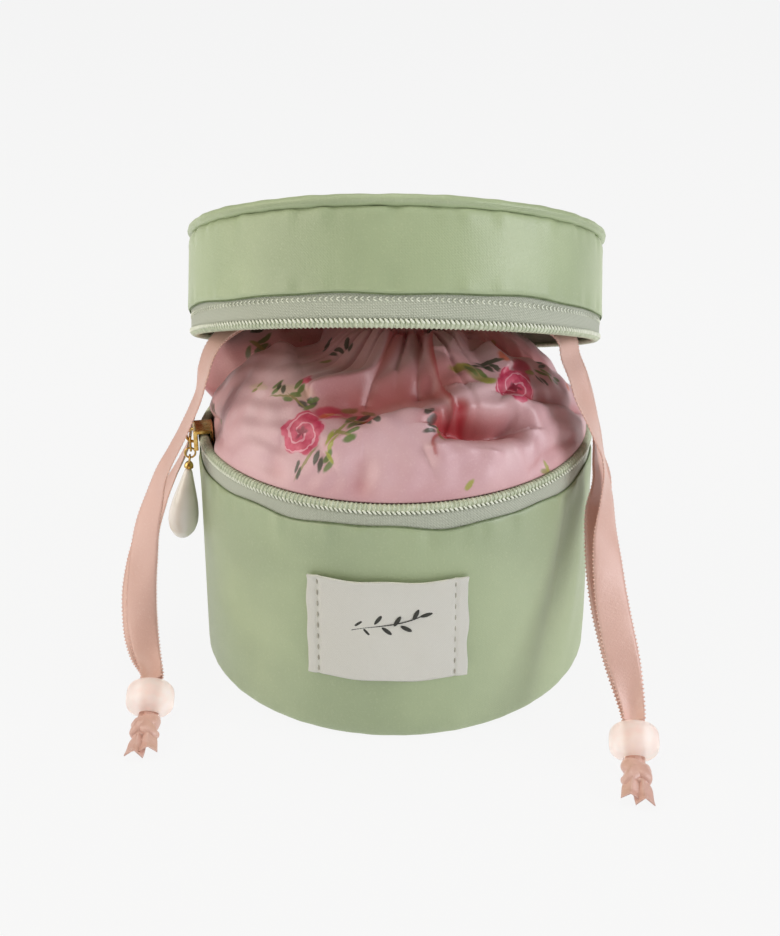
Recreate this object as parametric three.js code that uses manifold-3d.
// Small round satin bag, in millimetres, +Z up, front towards -Y.
// It stands on its base at z = 0, with the middle of the base at the origin. Its zip is undone and
// its lid is tipped back on a cloth hinge, over a drawstring pouch that bulges out of the body.
// Angles go round the bag in degrees: 0 is the right side, 90 the back, 180 the left, 270 the front.

import * as THREE from "three";
import { mergeVertices } from "three/addons/utils/BufferGeometryUtils.js";
import Module from "manifold-3d";

const wasm = await Module();
wasm.setup();

// Clearance between pieces that touch on the real bag, and facets round the bag
const GAP = 0.3;
const ROUND_STEPS = 48;

// Body wall and base
const BODY_HEIGHT = 56.3;
const BODY_BASE_RADIUS = 50;
const BODY_RIM_RADIUS = 49.3;
const BODY_WALL = 2.5;
const BASE_THICKNESS = 2.2;
const BASE_ROUND = 2.4;
const HEM_ROUND = 0.8;

// Zip: tape stands on the wall, coil stands on the tape, and both stop at the hinge
const TAPE_THICKNESS = 0.9;
const TAPE_SETBACK = 0.4;
const BODY_TAPE_HEIGHT = 2.7;
const LID_TAPE_HEIGHT = 4.6;
const COIL_WIDTH = 2.4;
const COIL_HEIGHT = 2.4;
const COIL_SETBACK = 0.2;
const ZIP_STEPS = 40;

// Lid
const LID_RADIUS = 50.4;
const LID_WALL = 2.5;
const LID_BAND_HEIGHT = 18.1;
const LID_TOP_THICKNESS = 2.2;
const LID_TOP_DOME = 1.2;
const LID_BACK_INSET = 2.4;
const LID_BACK_LIFT = 0.9;
const LID_ZIP_TILT = 23;
const LID_BAND_TILT = 25.5;
const PIPING_RADIUS = 1.3;

// Cloth hinge across the back
const HINGE_SPAN = 76;
const HINGE_THICKNESS = 1.4;
const HINGE_BULGE = 1.2;
const HINGE_STEPS = 10;
const HINGE_SIDE_GAP = 0.6;

// Pouch
const POUCH_WALL = 1;
const POUCH_CLEARANCE = 1.2;
const POUCH_BULGE = 1.6;
const POUCH_RISE = 26;
const POUCH_FOOT_ROUND = 4;
const POUCH_BACK_SQUEEZE = 4;
const NECK_RADIUS = 5.3;
const NECK_OFFSET = 3;
const NECK_HEIGHT = 1.8;
const FRILL_HEIGHT = 7.6;
const FRILL_RADIUS = 12.5;
const FRILL_WAVE = 1.1;
const FRILL_WAVES = 11;
const GATHERS = 13;
const GATHER_DEPTH = 0.9;
const POUCH_STEPS = 48;

// Slider and its pearl pull
const SLIDER_ANGLE = 191;
const SLIDER_LENGTH = 7;
const SLIDER_CLEARANCE = 0.35;
const SLIDER_PLATE = 1.1;
const SLIDER_INNER_PLATE = 0.7;
const SLIDER_BRIDGE = 1;
const CROWN_RADIUS = 1.7;
const CROWN_WIRE = 0.35;
const LINK_WIRE = 0.3;
const LINK_LENGTH = 3.7;
const LINK_WIDTH = 1.5;
const RING_RADIUS = 1.3;
const RING_WIRE = 0.25;
const EYE_RADIUS = 0.9;
const CAP_HEIGHT = 1.7;
const CAP_RADIUS = 1.15;
const PEARL_LENGTH = 19.5;
const PEARL_RADIUS = 3.8;
const PEARL_LEAN = 9;
const PLAY = 0.12;

// Label on the front
const LABEL_WIDTH = 37.5;
const LABEL_HEIGHT = 26.2;
const LABEL_BOTTOM = 17.2;
const LABEL_THICKNESS = 0.8;

// Ribbons, beads and knots
const RIBBON_WIDTH = 8;
const RIBBON_THICKNESS = 0.7;
const RIBBON_STEPS = 20;
const BEAD_RADIUS = 5.8;
const BEAD_LENGTH = 8.4;
const BEAD_HOLE = 2.5;
const BEAD_TILT = 35;
const KNOT_SIZE = 7.4;
const KNOT_DISTANCE = 9;
const TAIL_LENGTH = 10;
const TAIL_WIDTH = 3.2;

// Colours, roughness and metalness
const SATIN_GREEN = material(0xaabb8f, 0.45, 0);
const TAPE_GREEN = material(0xc9cebb, 0.8, 0);
const COIL_GREEN = material(0xdfe6cc, 0.4, 0);
const SATIN_PINK = material(0xdcb4b4, 0.45, 0);
const RIBBON_PINK = material(0xdcae9f, 0.5, 0);
const FROSTED = material(0xf2efec, 0.35, 0);
const GOLD = material(0xc9a356, 0.25, 1);
const PEARL = material(0xe9e4d8, 0.2, 0);
const LABEL_WHITE = material(0xd3d1c4, 0.85, 0);

// Sizes that follow from those above
const TAPE_FOOT = BODY_HEIGHT + GAP;
const COIL_FOOT = TAPE_FOOT + BODY_TAPE_HEIGHT + GAP;
const ZIP_TOP = COIL_FOOT + COIL_HEIGHT;
const LID_TAPE_FOOT = COIL_HEIGHT + GAP;
const LID_BAND_FOOT = LID_TAPE_FOOT + LID_TAPE_HEIGHT + GAP;
const LID_BAND_TOP = LID_BAND_FOOT + LID_BAND_HEIGHT;
const LID_COIL_RADIUS = LID_RADIUS - COIL_SETBACK * 3;
const COIL_MIDDLE = BODY_RIM_RADIUS - COIL_SETBACK - COIL_WIDTH / 2;
const SLIDER_CHANNEL = COIL_WIDTH / 2 + SLIDER_CLEARANCE;
const SLIDER_INSIDE = COIL_MIDDLE - SLIDER_CHANNEL - SLIDER_INNER_PLATE;
const POUCH_SIDE = BODY_RIM_RADIUS - BODY_WALL - POUCH_CLEARANCE;
const POUCH_WIDEST = POUCH_SIDE + POUCH_BULGE;
const POUCH_BASE = Math.min(POUCH_SIDE, BODY_BASE_RADIUS - BODY_WALL - POUCH_CLEARANCE);
const POUCH_FOOT = BASE_THICKNESS + GAP;
const SHOULDER = ZIP_TOP + 1;

// Soft dents of the body wall. Columns: angle at the foot and at the hem, in degrees; middle of the
// dent as a share of the height; half width in degrees; half height as a share of the height; depth
// as a share of the wall.
const BODY_DENTS = [
  { foot: 318, hem: 333, middle: 0.62, width: 4, reach: 0.5, depth: 0.5 },
  { foot: 326, hem: 341, middle: 0.6, width: 5, reach: 0.5, depth: -0.3 },
  { foot: 232, hem: 226, middle: 0.35, width: 9, reach: 0.3, depth: 0.25 },
  { foot: 30, hem: 22, middle: 0.55, width: 7, reach: 0.4, depth: 0.35 },
  { foot: 122, hem: 112, middle: 0.5, width: 8, reach: 0.4, depth: 0.3 },
];

// Folds of the pouch on its unrolled slope: the neck is at 0, 0 and the shoulder one unit away, so
// that all lengths are shares of the slope. Each fold runs from one end over a bend to the other
// end. left and right are its half widths to either side, and rise is a share of the pouch's rise.
const POUCH_FOLDS = [
  { from: [-0.98, -0.12], bend: [-0.76, 0.03], to: [-0.4, -0.1], left: 0.07, right: 0.16, rise: 0.1 },
  { from: [-0.86, 0.16], bend: [-0.62, 0.12], to: [-0.36, 0.06], left: 0.13, right: 0.07, rise: -0.3 },
  { from: [-0.3, -0.16], bend: [-0.24, -0.22], to: [-0.2, -0.27], left: 0.15, right: 0.15, rise: -0.1 },
  { from: [-0.03, -0.09], bend: [-0.04, -0.42], to: [-0.36, -0.4], left: 0.07, right: 0.06, rise: 0.09 },
  { from: [-0.1, -0.57], bend: [0, -0.5], to: [0.14, -0.47], left: 0.07, right: 0.08, rise: -0.16 },
  { from: [-0.16, -0.76], bend: [-0.04, -0.62], to: [0.18, -0.59], left: 0.04, right: 0.12, rise: 0.08 },
  { from: [0.07, -0.12], bend: [0.13, -0.4], to: [0.24, -0.54], left: 0.03, right: 0.08, rise: 0.08 },
  { from: [0.24, -0.54], bend: [0.27, -0.62], to: [0.16, -0.67], left: 0.03, right: 0.05, rise: 0.08 },
  { from: [0.24, -0.64], bend: [0.34, -0.56], to: [0.5, -0.5], left: 0.08, right: 0.04, rise: -0.28 },
  { from: [0.16, -0.73], bend: [0.34, -0.72], to: [0.54, -0.5], left: 0.04, right: 0.12, rise: 0.08 },
  { from: [0.5, -0.41], bend: [0.68, -0.28], to: [0.88, -0.12], left: 0.06, right: 0.03, rise: -0.07 },
  { from: [0.17, -0.2], bend: [0.3, -0.3], to: [0.42, -0.38], left: 0.07, right: 0.07, rise: 0.05 },
  { from: [0.42, 0.02], bend: [0.6, 0.04], to: [0.84, 0.1], left: 0.1, right: 0.06, rise: -0.16 },
  { from: [-0.5, -0.76], bend: [-0.56, -0.84], to: [-0.6, -0.94], left: 0.04, right: 0.03, rise: -0.04 },
  { from: [-0.12, -0.84], bend: [-0.13, -0.92], to: [-0.14, -1], left: 0.04, right: 0.03, rise: -0.05 },
  { from: [0.64, -0.6], bend: [0.7, -0.66], to: [0.76, -0.72], left: 0.03, right: 0.04, rise: -0.05 },
  { from: [0.3, 0.3], bend: [0.42, 0.52], to: [0.56, 0.8], left: 0.09, right: 0.12, rise: -0.12 },
  { from: [0, 0.28], bend: [-0.02, 0.5], to: [-0.08, 0.84], left: 0.1, right: 0.1, rise: -0.1 },
  { from: [-0.24, 0.2], bend: [-0.4, 0.4], to: [-0.56, 0.66], left: 0.1, right: 0.09, rise: 0.08 },
];

// Ribbon routes, from the pouch's neck to the beads. Each point is x, y, z and then the direction
// that the ribbon's face looks in, in degrees.
const LEFT_FRONT_ROUTE = [
  [-3.2, -1.7, 90.4, 180], [-6.5, -3, 91.2, 182], [-12, -5, 92.8, 184], [-20, -8, 94.2, 186],
  [-28, -10.5, 94, 188], [-35, -12.5, 92, 192], [-40.5, -14, 88.5, 200], [-43, -15.5, 85, 204],
  [-44.5, -17, 80.5, 206], [-45.5, -18, 75, 206], [-47, -19, 70, 206], [-49.5, -20, 64.5, 208],
  [-52, -20.5, 60, 212], [-54.5, -21, 55.5, 218], [-57, -21.5, 49.5, 226], [-60, -22.5, 42, 236],
  [-61.5, -24, 34.5, 246], [-62.5, -26, 26.5, 254], [-62, -28.7, 18.5, 260], [-60.4, -32.6, 12.6, 266],
  [-58.6, -37, 9.8, 270], [-58, -40, 9, 270],
];
const LEFT_BACK_ROUTE = [
  [-3.2, 1.7, 90.4, 180], [-6.5, 2.6, 90.6, 180], [-12, 2.6, 91, 180], [-20, 0.6, 91.4, 181],
  [-28, -2.4, 91, 182], [-36, -5.4, 88.8, 183], [-42, -7, 84.8, 184], [-45.6, -6.5, 79.8, 184],
  [-48, -4.5, 73.5, 182], [-49.6, -2.5, 66.5, 181], [-51.4, -1.2, 59.5, 181], [-53, -0.6, 53.5, 182],
  [-55.8, -0.8, 47, 186], [-59, -2.6, 40.5, 194], [-62, -6, 34, 206], [-64, -11, 27, 222],
  [-64.6, -16.5, 20, 238], [-63.4, -23, 13.6, 252], [-60.8, -30, 9.4, 264],
  [-58.4, -36.4, 8, 270], [-58, -39.2, 7.7, 270],
];
const RIGHT_FRONT_ROUTE = [
  [9.2, -1.7, 90.4, 360], [12.5, -3, 91.2, 358], [18, -5.4, 92.8, 352], [25, -8.6, 94.2, 346],
  [32, -11.4, 93.6, 338], [37.5, -13.2, 91.6, 330], [40.5, -14, 89, 326], [41.5, -16, 85, 326],
  [43, -18, 81.5, 328], [44.5, -20, 77, 332], [46.5, -21.5, 72.5, 340], [48, -23, 68, 350],
  [49.5, -24, 64, 356], [50.5, -25.2, 59, 350], [51, -27.2, 53.5, 336], [51, -29.8, 46.5, 318],
  [51.5, -33, 40, 300], [52.5, -37.6, 32, 288], [54.4, -42.6, 23.4, 280], [56.4, -47, 15.4, 274],
  [57.4, -50.4, 10.8, 270], [57.5, -52.9, 9, 270],
];
const RIGHT_BACK_ROUTE = [
  [9.2, 1.7, 90.4, 360], [12.5, 2.6, 90.6, 360], [18, 2.6, 91, 358], [26, -0.4, 91.4, 356],
  [33, -3.4, 90.4, 353], [38.6, -6, 88.4, 351], [42, -7.8, 85.6, 350], [43.8, -9.4, 82, 350],
  [45.6, -11.4, 78, 350], [46.8, -12.6, 74, 349], [47.8, -14.6, 69.6, 348], [48.8, -17, 65, 344],
  [49.2, -19.6, 60.5, 336], [50, -21.5, 56, 324], [49.5, -24.4, 49.5, 308], [50, -27.5, 43, 296],
  [50.6, -31.2, 36.5, 288], [52, -35.8, 29, 282], [54.4, -41.2, 20.6, 277], [56.4, -46.4, 13, 273],
  [57.4, -50.2, 8.8, 270], [57.5, -52.1, 7.7, 270],
];

// Where each bead's middle lies, and the direction its string leaves in, seen from above
const BEADS = {
  left: { x: -57.9, y: -43.4, heading: 272 },
  right: { x: 57.4, y: -56.3, heading: 268 },
};

function material(color, roughness, metalness) {
  return new THREE.MeshStandardMaterial({ color, roughness, metalness });
}

function radians(degrees) {
  return (degrees * Math.PI) / 180;
}

function mix(a, b, share) {
  return a + (b - a) * share;
}

function smooth(low, high, value) {
  const t = Math.min(Math.max((value - low) / (high - low), 0), 1);
  return t * t * (3 - 2 * t);
}

// Signed difference of two angles, from -180 to 180
function turnBetween(a, b) {
  return ((((a - b + 180) % 360) + 360) % 360) - 180;
}

// A point at an angle and radius round the bag's axis
function around(angle, radius, z) {
  const a = radians(angle);
  return new THREE.Vector3(radius * Math.cos(a), radius * Math.sin(a), z);
}

// Geometry from points and triangles, with its faces turned outwards
function solidGeometry(points, triangles) {
  let volume = 0;
  for (const [i, j, k] of triangles) {
    volume += points[i].dot(new THREE.Vector3().crossVectors(points[j], points[k]));
  }
  const facing = volume < 0 ? triangles.map(([i, j, k]) => [i, k, j]) : triangles;
  const geometry = new THREE.BufferGeometry();
  const numbers = points.flatMap((point) => [point.x, point.y, point.z]);
  geometry.setAttribute("position", new THREE.Float32BufferAttribute(numbers, 3));
  geometry.setIndex(facing.flat());
  geometry.computeVertexNormals();
  return geometry;
}

// Triangles between two rows of points, each row a closed loop of the same count
function band(rowStart, nextStart, count) {
  const triangles = [];
  for (let i = 0; i < count; i++) {
    const j = (i + 1) % count;
    triangles.push([rowStart + i, rowStart + j, nextStart + j]);
    triangles.push([rowStart + i, nextStart + j, nextStart + i]);
  }
  return triangles;
}

// Solid through sections that follow each other round a full ring
function ring(sections) {
  const count = sections[0].length;
  const triangles = sections.flatMap((section, i) =>
    band(i * count, ((i + 1) % sections.length) * count, count));
  return solidGeometry(sections.flat(), triangles);
}

// Solid through sections that follow each other along an open line, with flat ends
function strip(sections) {
  const count = sections[0].length;
  const last = (sections.length - 1) * count;
  const triangles = [];
  for (let i = 0; i + 1 < sections.length; i++) {
    triangles.push(...band(i * count, (i + 1) * count, count));
  }
  for (let i = 1; i + 1 < count; i++) {
    triangles.push([0, i + 1, i]);
    triangles.push([last, last + i, last + i + 1]);
  }
  return solidGeometry(sections.flat(), triangles);
}

// Solid through loops stacked between two end points, such as a bowl with its inside
function betweenPoles(firstPole, loops, lastPole) {
  const count = loops[0].length;
  const points = [firstPole, ...loops.flat(), lastPole];
  const end = points.length - 1;
  const lastStart = end - count;
  const triangles = [];
  for (let i = 0; i < count; i++) {
    const j = (i + 1) % count;
    triangles.push([0, 1 + j, 1 + i]);
    triangles.push([end, lastStart + i, lastStart + j]);
  }
  for (let row = 0; row + 1 < loops.length; row++) {
    triangles.push(...band(1 + row * count, 1 + (row + 1) * count, count));
  }
  return solidGeometry(points, triangles);
}

// Round bar that closes on itself along a stadium-shaped line: a ring where straight is 0
function wireLoop(bend, straight, wire, steps, sides) {
  const sections = [];
  for (let i = 0; i < steps; i++) {
    const a = (i / steps) * 2 * Math.PI;
    const out = new THREE.Vector3(Math.cos(a), 0, Math.sin(a));
    const middle = out.clone().multiplyScalar(bend);
    middle.z += Math.sign(Math.round(Math.sin(a) * 1e6)) * (straight / 2);
    sections.push(circleOf(middle, out, new THREE.Vector3(0, 1, 0), wire, sides));
  }
  return ring(sections);
}

function circleOf(middle, first, second, radius, sides) {
  const points = [];
  for (let i = 0; i < sides; i++) {
    const a = (i / sides) * 2 * Math.PI;
    const point = middle.clone().addScaledVector(first, radius * Math.cos(a));
    points.push(point.addScaledVector(second, radius * Math.sin(a)));
  }
  return points;
}

function asSolid(geometry) {
  const bare = geometry.clone();
  bare.deleteAttribute("normal");
  bare.deleteAttribute("uv");
  const merged = mergeVertices(bare, 1e-5);
  return new wasm.Manifold(new wasm.Mesh({
    numProp: 3,
    vertProperties: new Float32Array(merged.attributes.position.array),
    triVerts: new Uint32Array(merged.index.array),
  }));
}

function asGeometry(solid) {
  const { vertProperties, triVerts } = solid.getMesh();
  const geometry = new THREE.BufferGeometry();
  geometry.setAttribute("position", new THREE.Float32BufferAttribute(vertProperties, 3));
  geometry.setIndex([...triVerts]);
  geometry.computeVertexNormals();
  return geometry;
}

function joined(geometries) {
  return asGeometry(geometries.map(asSolid).reduce((whole, piece) => whole.add(piece)));
}

const bag = new THREE.Group();

function add(name, geometry, finish, parent = bag) {
  const mesh = new THREE.Mesh(geometry, finish);
  mesh.name = name;
  parent.add(mesh);
  return mesh;
}

// Angles at which a piece that goes all the way round has a section
function fullTurn(steps) {
  return Array.from({ length: steps }, (_, i) => (i / steps) * 360);
}

// Angles of the zip, which runs round the front from one side of the hinge to the other
function zipTurn() {
  const start = 90 + HINGE_SPAN / 2;
  const sweep = 360 - HINGE_SPAN;
  return Array.from({ length: ZIP_STEPS + 1 }, (_, i) => start + (i / ZIP_STEPS) * sweep);
}

// How far the body wall is pushed in, at an angle and a share of the height
function bodyDent(angle, share) {
  let dent = 0;
  for (const row of BODY_DENTS) {
    const off = turnBetween(angle, mix(row.foot, row.hem, share)) / row.width;
    const up = (share - row.middle) / row.reach;
    dent += row.depth * Math.exp(-off * off - up * up);
  }
  return dent * BODY_WALL * smooth(0, 0.2, share) * smooth(1, 0.85, share);
}

function bodyRadius(angle, z) {
  const share = z / BODY_HEIGHT;
  return mix(BODY_BASE_RADIUS, BODY_RIM_RADIUS, share) - bodyDent(angle, share);
}

// Body wall: a padded tube with a rounded foot and hem
function addBody() {
  const sections = fullTurn(ROUND_STEPS).map((angle) => {
    const outer = [
      [BASE_ROUND, 0],
      [BASE_ROUND * 0.3, BASE_ROUND * 0.3],
      [0, BASE_ROUND],
    ].map(([inset, z]) => around(angle, bodyRadius(angle, z) - inset, z));
    for (const share of [0.2, 0.4, 0.6, 0.8]) {
      outer.push(around(angle, bodyRadius(angle, share * BODY_HEIGHT), share * BODY_HEIGHT));
    }
    outer.push(around(angle, BODY_RIM_RADIUS, BODY_HEIGHT - HEM_ROUND));
    outer.push(around(angle, BODY_RIM_RADIUS - HEM_ROUND, BODY_HEIGHT));
    const inner = [BODY_HEIGHT, 0].map((z) => {
      const radius = mix(BODY_BASE_RADIUS, BODY_RIM_RADIUS, z / BODY_HEIGHT);
      return around(angle, radius - BODY_WALL, z);
    });
    return [...outer, ...inner];
  });
  add("bag_body", ring(sections), SATIN_GREEN);

  const baseRadius = BODY_BASE_RADIUS - BODY_WALL - GAP;
  const profile = [[0, 0], [baseRadius, 0], [baseRadius, BASE_THICKNESS], [0, BASE_THICKNESS]];
  const base = latheZ(profile, ROUND_STEPS);
  add("base_panel", base, SATIN_GREEN);
}

// Solid turned round the Z axis from radius and height pairs
function latheZ(profile, steps) {
  const geometry = new THREE.LatheGeometry(profile.map(([r, z]) => new THREE.Vector2(r, z)), steps);
  geometry.rotateX(Math.PI / 2);
  return asGeometry(outwards(geometry));
}

function outwards(geometry) {
  const solid = asSolid(geometry);
  if (solid.volume() > 0) {
    return solid;
  }
  const flipped = geometry.clone();
  const order = flipped.index.array;
  for (let i = 0; i < order.length; i += 3) {
    [order[i], order[i + 1]] = [order[i + 1], order[i]];
  }
  return asSolid(flipped);
}

// Lower half of the zip
function addBodyZip() {
  const outer = BODY_RIM_RADIUS - TAPE_SETBACK;
  const tape = zipTurn().map((angle) => [
    around(angle, outer, TAPE_FOOT),
    around(angle, outer, TAPE_FOOT + BODY_TAPE_HEIGHT),
    around(angle, outer - TAPE_THICKNESS, TAPE_FOOT + BODY_TAPE_HEIGHT),
    around(angle, outer - TAPE_THICKNESS, TAPE_FOOT),
  ]);
  add("body_zip_tape", strip(tape), TAPE_GREEN);
  const coil = zipTurn().map((angle) =>
    coilSection((radius, height) => around(angle, COIL_MIDDLE + radius, COIL_FOOT + height)));
  add("body_zip_coil", strip(coil), COIL_GREEN);
}

// Six-sided oval of a zip coil, with its foot at height 0
function coilSection(place) {
  return Array.from({ length: 6 }, (_, i) => {
    const a = radians(30 + i * 60);
    return place((COIL_WIDTH / 2) * Math.cos(a) / Math.cos(radians(30)),
      (COIL_HEIGHT / 2) * (1 + Math.sin(a)));
  });
}

// A point of the tipped lid: angle round its axis, radius, and height above its coil's lower edge
function lidPoint(angle, radius, height) {
  const share = Math.min(height / LID_BAND_FOOT, 1);
  const tilt = radians(mix(LID_ZIP_TILT, LID_BAND_TILT, share));
  const wallLean = radians((LID_ZIP_TILT + LID_BAND_TILT) / 2);
  const zipTilt = radians(LID_ZIP_TILT);
  const frontY = BODY_RIM_RADIUS - LID_BACK_INSET - 2 * LID_RADIUS * Math.cos(zipTilt);
  const frontZ = ZIP_TOP + LID_BACK_LIFT + 2 * LID_RADIUS * Math.sin(zipTilt);
  const y = frontY + height * Math.sin(wallLean) + LID_RADIUS * Math.cos(tilt);
  const z = frontZ + height * Math.cos(wallLean) - LID_RADIUS * Math.sin(tilt);
  const flat = around(angle, radius, 0);
  return new THREE.Vector3(
    flat.x, y + flat.y * Math.cos(tilt), z - flat.y * Math.sin(tilt));
}

// Lid: zip, side band, piping and top
function addLid() {
  const coil = zipTurn().map((angle) => coilSection((radius, height) =>
    lidPoint(angle, LID_COIL_RADIUS - COIL_WIDTH / 2 + radius, height)));
  add("lid_zip_coil", strip(coil), COIL_GREEN);

  const tapeOuter = LID_RADIUS - TAPE_SETBACK * 2;
  const tapeTop = LID_TAPE_FOOT + LID_TAPE_HEIGHT;
  const tape = zipTurn().map((angle) => [
    lidPoint(angle, tapeOuter - TAPE_SETBACK, LID_TAPE_FOOT),
    lidPoint(angle, tapeOuter, tapeTop),
    lidPoint(angle, tapeOuter - TAPE_THICKNESS, tapeTop),
    lidPoint(angle, tapeOuter - TAPE_SETBACK - TAPE_THICKNESS, LID_TAPE_FOOT),
  ]);
  add("lid_zip_tape", strip(tape), TAPE_GREEN);

  const inner = LID_RADIUS - LID_WALL;
  const bandSections = fullTurn(ROUND_STEPS).map((angle) => [
    lidPoint(angle, LID_RADIUS - HEM_ROUND, LID_BAND_FOOT),
    lidPoint(angle, LID_RADIUS, LID_BAND_FOOT + HEM_ROUND),
    lidPoint(angle, LID_RADIUS + 0.15, mix(LID_BAND_FOOT, LID_BAND_TOP, 0.5)),
    lidPoint(angle, LID_RADIUS, LID_BAND_TOP - HEM_ROUND),
    lidPoint(angle, LID_RADIUS - HEM_ROUND, LID_BAND_TOP),
    lidPoint(angle, inner, LID_BAND_TOP),
    lidPoint(angle, inner, LID_BAND_FOOT),
  ]);
  add("lid_band", ring(bandSections), SATIN_GREEN);

  const pipingMiddle = LID_BAND_TOP + GAP + PIPING_RADIUS;
  const piping = fullTurn(ROUND_STEPS).map((angle) =>
    Array.from({ length: 6 }, (_, i) => {
      const a = radians(i * 60);
      const radius = LID_RADIUS - HEM_ROUND / 2 + PIPING_RADIUS * (Math.cos(a) - 0.4);
      return lidPoint(angle, radius, pipingMiddle + PIPING_RADIUS * Math.sin(a));
    }));
  add("lid_piping", ring(piping), SATIN_GREEN);

  const topRadius = LID_RADIUS - HEM_ROUND / 2 - 1.4 * PIPING_RADIUS - GAP;
  const topFoot = LID_BAND_TOP + GAP;
  const topLoops = [
    [topRadius, topFoot],
    [topRadius, topFoot + LID_TOP_THICKNESS * 0.7],
    [topRadius - LID_TOP_THICKNESS, topFoot + LID_TOP_THICKNESS],
    [topRadius / 2, topFoot + LID_TOP_THICKNESS + LID_TOP_DOME * 0.8],
  ].map(([radius, height]) => fullTurn(ROUND_STEPS).map((angle) => lidPoint(angle, radius, height)));
  const topPole = lidPoint(0, 0, topFoot + LID_TOP_THICKNESS + LID_TOP_DOME);
  add("lid_top", betweenPoles(lidPoint(0, 0, topFoot), topLoops, topPole), SATIN_GREEN);
}

// Cloth panel across the back, from the body's hem up to the lid's hem
function addHinge() {
  const half = HINGE_SPAN / 2 - HINGE_SIDE_GAP;
  const sections = [];
  const footRadius = BODY_RIM_RADIUS - BODY_WALL / 2;
  const headRadius = LID_RADIUS - LID_WALL / 2;
  for (let i = 0; i <= HINGE_STEPS; i++) {
    const angle = mix(90 - half, 90 + half, i / HINGE_STEPS);
    const face = (side) => [0, 0.5, 1].map((share) => {
      const low = around(angle, footRadius + side * HINGE_THICKNESS / 2, TAPE_FOOT);
      const high = lidPoint(angle, headRadius + side * HINGE_THICKNESS / 2, LID_BAND_FOOT - GAP);
      const out = around(angle, HINGE_BULGE * Math.sin(share * Math.PI), 0);
      return low.lerp(high, share).add(out);
    });
    sections.push([...face(1), ...face(-1).reverse()]);
  }
  add("back_hinge", strip(sections), SATIN_GREEN);
}

// The pouch's smooth slope from the neck to the shoulder, as radius and height by share of its length
const SLOPE = (() => {
  const samples = 400;
  const points = [];
  for (let i = 0; i <= samples; i++) {
    const t = (i / samples) * (Math.PI / 2);
    const radius = POUCH_WIDEST * Math.pow(Math.sin(t), 2 / 2.2);
    const z = SHOULDER + POUCH_RISE * Math.pow(Math.cos(t), 2 / 1.6);
    if (radius >= NECK_RADIUS) {
      points.push({ radius, z });
    }
  }
  points.unshift({ radius: NECK_RADIUS, z: points[0].z });
  let length = 0;
  points.forEach((point, i) => {
    if (i > 0) {
      length += Math.hypot(point.radius - points[i - 1].radius, point.z - points[i - 1].z);
    }
    point.along = length;
  });
  return { points, length };
})();

// Radius, height and outward direction of the slope at a share of its length from the neck
function slopeAt(share) {
  const along = Math.min(Math.max(share, 0), 1) * SLOPE.length;
  let i = 1;
  while (i < SLOPE.points.length - 1 && SLOPE.points[i].along < along) {
    i++;
  }
  const a = SLOPE.points[i - 1];
  const b = SLOPE.points[i];
  const t = Math.min((along - a.along) / Math.max(b.along - a.along, 1e-9), 1);
  const run = Math.hypot(b.radius - a.radius, b.z - a.z);
  return {
    radius: mix(a.radius, b.radius, t),
    z: mix(a.z, b.z, t),
    out: (a.z - b.z) / run,
    up: (b.radius - a.radius) / run,
  };
}

function bendPoint(row, t) {
  const k = 1 - t;
  return [0, 1].map((i) => k * k * row.from[i] + 2 * k * t * row.bend[i] + t * t * row.to[i]);
}

// Height that one fold adds at a point of the unrolled slope
function foldHeight(row, u, v) {
  const steps = 14;
  let nearest = Infinity;
  let side = 0;
  for (let i = 0; i < steps; i++) {
    const [au, av] = bendPoint(row, i / steps);
    const [bu, bv] = bendPoint(row, (i + 1) / steps);
    const du = bu - au;
    const dv = bv - av;
    const t = Math.min(Math.max(((u - au) * du + (v - av) * dv) / (du * du + dv * dv), 0), 1);
    const away = Math.hypot(u - au - t * du, v - av - t * dv);
    if (away < nearest) {
      nearest = away;
      side = du * (v - av) - dv * (u - au);
    }
  }
  const width = side > 0 ? row.left : row.right;
  return row.rise * Math.exp(-((nearest / width) ** 2));
}

// All folds and gathers together, in millimetres along the slope's outward direction
function pouchFold(angle, share) {
  const u = share * Math.cos(radians(angle));
  const v = share * Math.sin(radians(angle));
  const folds = POUCH_FOLDS.reduce((sum, row) => sum + foldHeight(row, u, v), 0);
  const wave = Math.cos(radians(angle * GATHERS)) + 0.5 * Math.sin(radians(angle * 3) * 3);
  const gather = GATHER_DEPTH * wave * smooth(0, 0.1, share) * Math.exp(-((share / 0.34) ** 2));
  return (folds * POUCH_RISE + gather) * smooth(0, 0.08, share) * smooth(1, 0.93, share);
}

// 1 beside the slider, where the pouch is pushed in, and 0 away from it
function besideSlider(angle) {
  const half = (SLIDER_LENGTH / 2 / COIL_MIDDLE) * (180 / Math.PI) + GAP;
  return 1 - smooth(half + 2, half * 4, Math.abs(turnBetween(angle, SLIDER_ANGLE)));
}

// How much the pouch gives way to the lid behind it and to the slider beside it, at its widest
function pouchSqueeze(angle) {
  const back = POUCH_BACK_SQUEEZE * smooth(0.1, 0.8, Math.sin(radians(angle)));
  return back + (POUCH_WIDEST - SLIDER_INSIDE + GAP) * besideSlider(angle);
}

// A point of the pouch's slope, pushed in by depth from its outside
function pouchPoint(angle, share, depth) {
  const at = slopeAt(share);
  const lift = pouchFold(angle, share) - depth;
  const reach = (at.radius - NECK_RADIUS) / (POUCH_WIDEST - NECK_RADIUS);
  const radius = at.radius - pouchSqueeze(angle) * reach + at.out * lift;
  const point = around(angle, radius, at.z + at.up * lift);
  point.x += NECK_OFFSET * (1 - reach);
  return point;
}

function neckPoint(angle, radius, z) {
  const point = around(angle, radius, z);
  point.x += NECK_OFFSET;
  return point;
}

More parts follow.
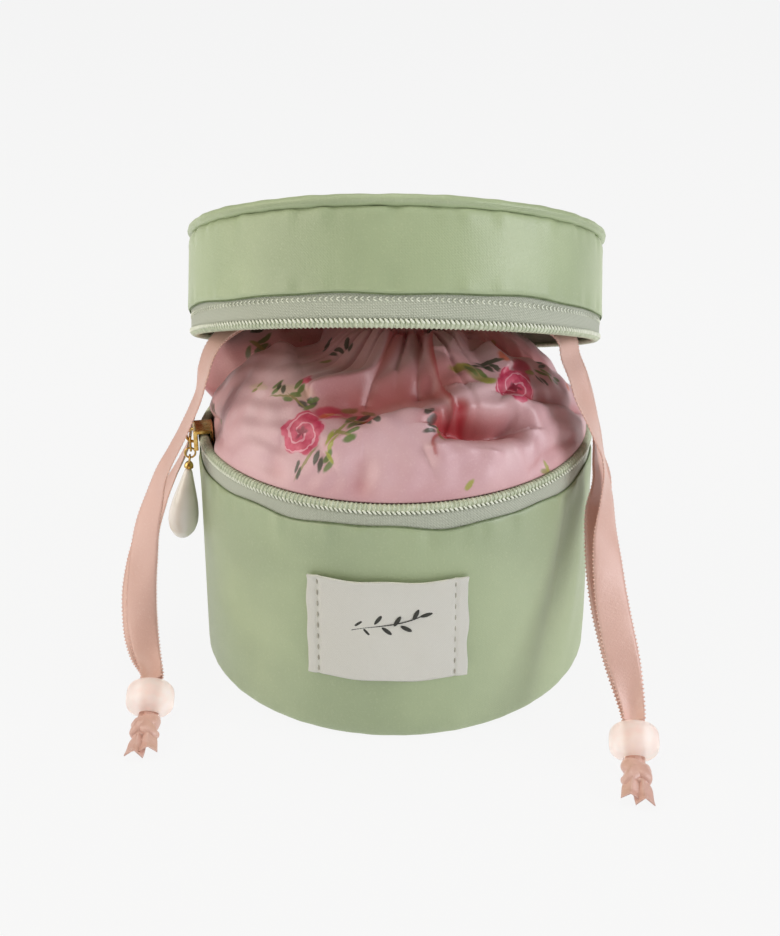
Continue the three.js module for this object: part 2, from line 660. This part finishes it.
function frillPoint(angle, share, inset) {
  const foot = slopeAt(0).z + NECK_HEIGHT;
  const wave = FRILL_WAVE * share * Math.cos(radians(angle * FRILL_WAVES));
  const radius = mix(NECK_RADIUS, FRILL_RADIUS, share ** 1.3) + wave - inset;
  return neckPoint(angle, radius, foot + FRILL_HEIGHT * share);
}

// Pouch: one cloth wall from the middle of its floor, up its outside, over the frill and back down
function addPouch() {
  const angles = fullTurn(POUCH_STEPS);
  const loop = (place) => angles.map(place);
  const side = (radius, z) => loop((angle) => around(angle, radius, z));
  const shares = [1, 0.94, 0.88, 0.81, 0.74, 0.68, 0.62, 0.56, 0.5, 0.43, 0.36, 0.29, 0.22, 0.15, 0.08, 0];
  const inShares = [0.16, 0.34, 0.5, 0.64, 0.8, 1];
  const tuckLoop = (z) => loop((angle) =>
    around(angle, mix(POUCH_SIDE, SLIDER_INSIDE - GAP, besideSlider(angle)), z));
  const loops = [
    side(POUCH_BASE - POUCH_FOOT_ROUND, POUCH_FOOT),
    side(POUCH_BASE, POUCH_FOOT + POUCH_FOOT_ROUND),
    side(POUCH_SIDE, BODY_HEIGHT - HEM_ROUND),
    tuckLoop(COIL_FOOT),
    tuckLoop(ZIP_TOP),
    ...shares.map((share) => loop((angle) => pouchPoint(angle, share, 0))),
    loop((angle) => frillPoint(angle, 0, 0)),
    loop((angle) => frillPoint(angle, 0.5, 0)),
    loop((angle) => frillPoint(angle, 1, 0)),
    loop((angle) => frillPoint(angle, 1, POUCH_WALL)),
    loop((angle) => frillPoint(angle, 0.5, POUCH_WALL)),
    loop((angle) => frillPoint(angle, 0, POUCH_WALL)),
    loop((angle) => neckPoint(angle, NECK_RADIUS - POUCH_WALL, slopeAt(0).z - POUCH_WALL)),
    ...inShares.map((share) => loop((angle) => pouchPoint(angle, share, POUCH_WALL))),
    side(POUCH_SIDE - 2 * POUCH_WALL, BODY_HEIGHT - HEM_ROUND),
    side(POUCH_BASE - POUCH_WALL, POUCH_FOOT + POUCH_FOOT_ROUND),
    side(POUCH_BASE - POUCH_FOOT_ROUND, POUCH_FOOT + POUCH_WALL),
  ];
  const lowPole = new THREE.Vector3(0, 0, POUCH_FOOT);
  const highPole = new THREE.Vector3(0, 0, POUCH_FOOT + POUCH_WALL);
  add("pouch", betweenPoles(lowPole, loops, highPole), SATIN_PINK);
}

// A group that sits on the body's coil at the slider: x points out, y along the zip, z up
function sliderFrame() {
  const frame = new THREE.Group();
  frame.position.copy(around(SLIDER_ANGLE, COIL_MIDDLE, COIL_FOOT + COIL_HEIGHT / 2));
  frame.rotation.z = radians(SLIDER_ANGLE);
  bag.add(frame);
  return frame;
}

// Slider: a channel over the coil with an arched crown on its outer plate
function sliderGeometry(outerFace) {
  const ceiling = COIL_HEIGHT / 2 + SLIDER_CLEARANCE;
  const outerFoot = -COIL_HEIGHT / 2 - GAP - BODY_TAPE_HEIGHT / 2;
  const innerFoot = -COIL_HEIGHT / 2 + GAP;
  const shape = new THREE.Shape([
    new THREE.Vector2(outerFace, outerFoot),
    new THREE.Vector2(outerFace, ceiling + SLIDER_BRIDGE * 0.6),
    new THREE.Vector2(outerFace - SLIDER_BRIDGE * 0.4, ceiling + SLIDER_BRIDGE),
    new THREE.Vector2(-SLIDER_CHANNEL - SLIDER_INNER_PLATE, ceiling + SLIDER_BRIDGE),
    new THREE.Vector2(-SLIDER_CHANNEL - SLIDER_INNER_PLATE, innerFoot),
    new THREE.Vector2(-SLIDER_CHANNEL, innerFoot),
    new THREE.Vector2(-SLIDER_CHANNEL, ceiling),
    new THREE.Vector2(SLIDER_CHANNEL, ceiling),
    new THREE.Vector2(SLIDER_CHANNEL, outerFoot),
  ]);
  const channel = new THREE.ExtrudeGeometry(shape, { depth: SLIDER_LENGTH, bevelEnabled: false });
  channel.translate(0, 0, -SLIDER_LENGTH / 2);
  channel.rotateX(Math.PI / 2);
  const sunk = CROWN_WIRE;
  const arch = [];
  for (let i = 0; i <= 8; i++) {
    const a = mix(-Math.PI / 2, Math.PI / 2, i / 8);
    const out = new THREE.Vector3(Math.cos(a), 0, Math.sin(a));
    const middle = out.clone().multiplyScalar(CROWN_RADIUS);
    middle.x += outerFace - (i % 8 === 0 ? sunk : 0);
    arch.push(circleOf(middle, out, new THREE.Vector3(0, 1, 0), CROWN_WIRE, 6));
  }
  return joined([channel, strip(arch)]);
}

// The pull leans out by its own lean, or as far as the wall below pushes its pearl
function pullLean(linkX) {
  const pearlOut = Math.max(BODY_BASE_RADIUS, BODY_RIM_RADIUS) + GAP + PEARL_RADIUS;
  const wallLean = Math.asin(Math.min((pearlOut - COIL_MIDDLE - linkX) / PEARL_LENGTH, 1));
  return Math.max(radians(PEARL_LEAN), wallLean);
}

// Slider, link, ring, cap and pearl: each loop hangs through the one above with a little play
function addPull() {
  const frame = sliderFrame();
  const outerFace = SLIDER_CHANNEL + SLIDER_PLATE;
  add("zip_slider", sliderGeometry(outerFace), GOLD, frame);

  const linkBend = LINK_WIDTH / 2;
  const linkX = outerFace + CROWN_RADIUS / 2;
  const linkTop = -CROWN_RADIUS + CROWN_WIRE + LINK_WIRE + PLAY + 0.5;
  const bar = wireLoop(linkBend, LINK_LENGTH - 2 * linkBend, LINK_WIRE, 12, 5);
  const link = add("pull_link", bar, GOLD, frame);
  link.rotation.z = Math.PI / 2;
  link.position.set(linkX, 0, linkTop - LINK_LENGTH / 2);

  const hang = new THREE.Group();
  const linkFoot = linkTop - LINK_LENGTH;
  hang.position.set(linkX, 0, linkFoot + LINK_WIRE + RING_WIRE + PLAY);
  hang.rotation.y = -pullLean(linkX);
  frame.add(hang);
  const pullRing = add("pull_ring", wireLoop(RING_RADIUS, 0, RING_WIRE, 12, 5), GOLD, hang);
  pullRing.position.z = -RING_RADIUS;

  const eyeTop = -2 * RING_RADIUS + 2 * RING_WIRE + PLAY;
  const eye = wireLoop(EYE_RADIUS, 0, RING_WIRE, 12, 5);
  eye.rotateZ(Math.PI / 2);
  eye.translate(0, 0, eyeTop - EYE_RADIUS);
  const capTop = eyeTop - 2 * EYE_RADIUS + RING_WIRE / 2;
  const cap = latheZ([
    [0, capTop],
    [RING_WIRE * 2, capTop],
    [CAP_RADIUS, capTop - CAP_HEIGHT * 0.7],
    [CAP_RADIUS, capTop - CAP_HEIGHT],
    [0, capTop - CAP_HEIGHT],
  ], 10);
  add("pearl_cap", joined([eye, cap]), GOLD, hang);

  const pearlTop = capTop - CAP_HEIGHT - GAP;
  const profile = [[0, pearlTop]];
  for (const [down, wide] of [
    [0.01, 0.24], [0.12, 0.38], [0.28, 0.6], [0.46, 0.84], [0.62, 0.98], [0.74, 1], [0.86, 0.86], [0.95, 0.55],
  ]) {
    profile.push([PEARL_RADIUS * wide, pearlTop - PEARL_LENGTH * down]);
  }
  profile.push([0, pearlTop - PEARL_LENGTH]);
  add("pearl_drop", latheZ(profile, 14), PEARL, hang);
}

// Label: a thin curved patch that follows the body's front
function addLabel() {
  const steps = 8;
  const halfAngle = (LABEL_WIDTH / 2 / BODY_BASE_RADIUS) * (180 / Math.PI);
  const heights = [0, 0.5, 1].map((share) => LABEL_BOTTOM + share * LABEL_HEIGHT);
  const sections = [];
  for (let i = 0; i <= steps; i++) {
    const angle = mix(270 - halfAngle, 270 + halfAngle, i / steps);
    const seat = (z) => bodyRadius(angle, z) + GAP;
    const outside = heights.map((z) => around(angle, seat(z) + LABEL_THICKNESS, z));
    const inside = heights.map((z) => around(angle, seat(z), z)).reverse();
    sections.push([...outside, ...inside]);
  }
  add("label", strip(sections), LABEL_WHITE);
}

// Ribbon's middle line. Its frames turn the ribbon's face as the route says, and are shorter across
// where the ribbon is bunched: at the pouch's neck and at the bead.
class RibbonLine extends THREE.CatmullRomCurve3 {
  constructor(route) {
    super(route.map(([x, y, z]) => new THREE.Vector3(x, y, z)), false, "centripetal");
    this.route = route;
  }

  computeFrenetFrames(steps) {
    const frames = { tangents: [], normals: [], binormals: [] };
    for (let i = 0; i <= steps; i++) {
      const share = i / steps;
      const tangent = this.getTangentAt(share);
      const place = this.getUtoTmapping(share) * (this.route.length - 1);
      const row = Math.min(Math.floor(place), this.route.length - 2);
      const facing = mix(this.route[row][3], this.route[row + 1][3], place - row);
      const across = around(facing + 90, 1, 0);
      across.addScaledVector(tangent, -across.dot(tangent)).normalize();
      const face = new THREE.Vector3().crossVectors(tangent, across);
      const open = Math.min(smooth(-0.04, 0.14, share), smooth(1.03, 0.9, share));
      frames.tangents.push(tangent);
      frames.normals.push(across.multiplyScalar(mix(0.3, 1, open)));
      frames.binormals.push(face);
    }
    return frames;
  }
}

function addRibbon(name, route) {
  const half = RIBBON_WIDTH / 2;
  const thick = RIBBON_THICKNESS / 2;
  const corner = 0.8;
  const shape = new THREE.Shape([
    [half, -thick * 0.4], [half, thick * 0.4], [half * corner, thick], [-half * corner, thick],
    [-half, thick * 0.4], [-half, -thick * 0.4], [-half * corner, -thick], [half * corner, -thick],
  ].map(([x, y]) => new THREE.Vector2(x, y)));
  const options = { steps: RIBBON_STEPS, bevelEnabled: false, extrudePath: new RibbonLine(route) };
  const ribbon = new THREE.ExtrudeGeometry(shape, options);
  add(name, asGeometry(outwards(ribbonIndexed(ribbon))), RIBBON_PINK);
}

function ribbonIndexed(geometry) {
  geometry.deleteAttribute("normal");
  geometry.deleteAttribute("uv");
  return mergeVertices(geometry, 1e-5);
}

// Outline of a bead, as radius and place along its hole
function beadProfile() {
  const half = BEAD_LENGTH / 2;
  return [
    [BEAD_HOLE, -half * 0.85], [BEAD_HOLE * 1.25, -half], [BEAD_RADIUS * 0.78, -half * 0.86],
    [BEAD_RADIUS * 0.97, -half * 0.4], [BEAD_RADIUS, 0], [BEAD_RADIUS * 0.97, half * 0.4],
    [BEAD_RADIUS * 0.78, half * 0.86], [BEAD_HOLE * 1.25, half], [BEAD_HOLE, half * 0.85],
    [BEAD_HOLE, -half * 0.85],
  ];
}

// Height of a tilted bead's middle when it rests on the floor
function beadHeight() {
  const tilt = radians(BEAD_TILT);
  const drops = beadProfile().map(([r, x]) => r * Math.cos(tilt) + Math.abs(x) * Math.sin(tilt));
  return Math.max(...drops);
}

// Knot: the bunched ribbon in the bead's hole, three crossing lobes and two cut tails on the floor.
// It is made in the bead's floor frame, with x towards the knot.
function knotGeometry() {
  const hole = new THREE.Vector3(Math.cos(radians(BEAD_TILT)), 0, -Math.sin(radians(BEAD_TILT)));
  const bead = new THREE.Vector3(0, 0, beadHeight());
  const half = BEAD_LENGTH / 2;
  const knot = new THREE.Vector3(KNOT_DISTANCE, 0, KNOT_SIZE * 0.4);
  const side = new THREE.Vector3(0, 1, 0);
  const neckRadius = BEAD_HOLE - 2 * GAP;
  const neckUp = new THREE.Vector3(-hole.z, 0, hole.x);
  const neckPoints = [-half + GAP, half].map((along) => bead.clone().addScaledVector(hole, along));
  const neck = strip([
    ...neckPoints.map((point) => circleOf(point, side, neckUp, neckRadius, 6)),
    circleOf(knot, side, new THREE.Vector3(0, 0, 1), neckRadius, 6),
  ]);
  const lobes = [
    { turn: 55, shift: 0, size: [0.32, 0.5, 0.4] },
    { turn: -50, shift: 0.05, size: [0.3, 0.48, 0.38] },
    { turn: 5, shift: 0.22, size: [0.24, 0.42, 0.32] },
  ].map(({ turn, shift, size }) => {
    const lobe = new THREE.SphereGeometry(1, 8, 5);
    lobe.scale(size[0] * KNOT_SIZE, size[1] * KNOT_SIZE, size[2] * KNOT_SIZE);
    lobe.rotateZ(radians(turn));
    lobe.translate(knot.x + shift * KNOT_SIZE, 0, knot.z - shift * KNOT_SIZE * 0.2);
    return lobe;
  });
  const tails = [-13, 15].map((spread, i) => {
    const tail = new THREE.BoxGeometry(TAIL_LENGTH, TAIL_WIDTH, RIBBON_THICKNESS * 1.4);
    tail.translate(TAIL_LENGTH / 2, 0, 0);
    tail.rotateY(radians(4 + 3 * i));
    tail.rotateZ(radians(spread));
    tail.translate(knot.x + KNOT_SIZE * 0.15, 0, KNOT_SIZE * (0.2 + 0.09 * i));
    return tail;
  });
  return joined([neck, ...lobes, ...tails]);
}

function addBead(side) {
  const place = BEADS[side];
  const frame = new THREE.Group();
  frame.position.set(place.x, place.y, 0);
  frame.rotation.z = radians(place.heading);
  bag.add(frame);
  const bead = add(`bead_${side}`, latheZ(beadProfile(), 12), FROSTED, frame);
  bead.position.z = beadHeight();
  bead.rotation.y = Math.PI / 2 + radians(BEAD_TILT);
  add(`knot_${side}`, knotGeometry(), RIBBON_PINK, frame);
}

addBody();
addBodyZip();
addLid();
addHinge();
addPouch();
addPull();
addLabel();
addRibbon("ribbon_left_front", LEFT_FRONT_ROUTE);
addRibbon("ribbon_left_back", LEFT_BACK_ROUTE);
addRibbon("ribbon_right_front", RIGHT_FRONT_ROUTE);
addRibbon("ribbon_right_back", RIGHT_BACK_ROUTE);
addBead("left");
addBead("right");

export default bag;
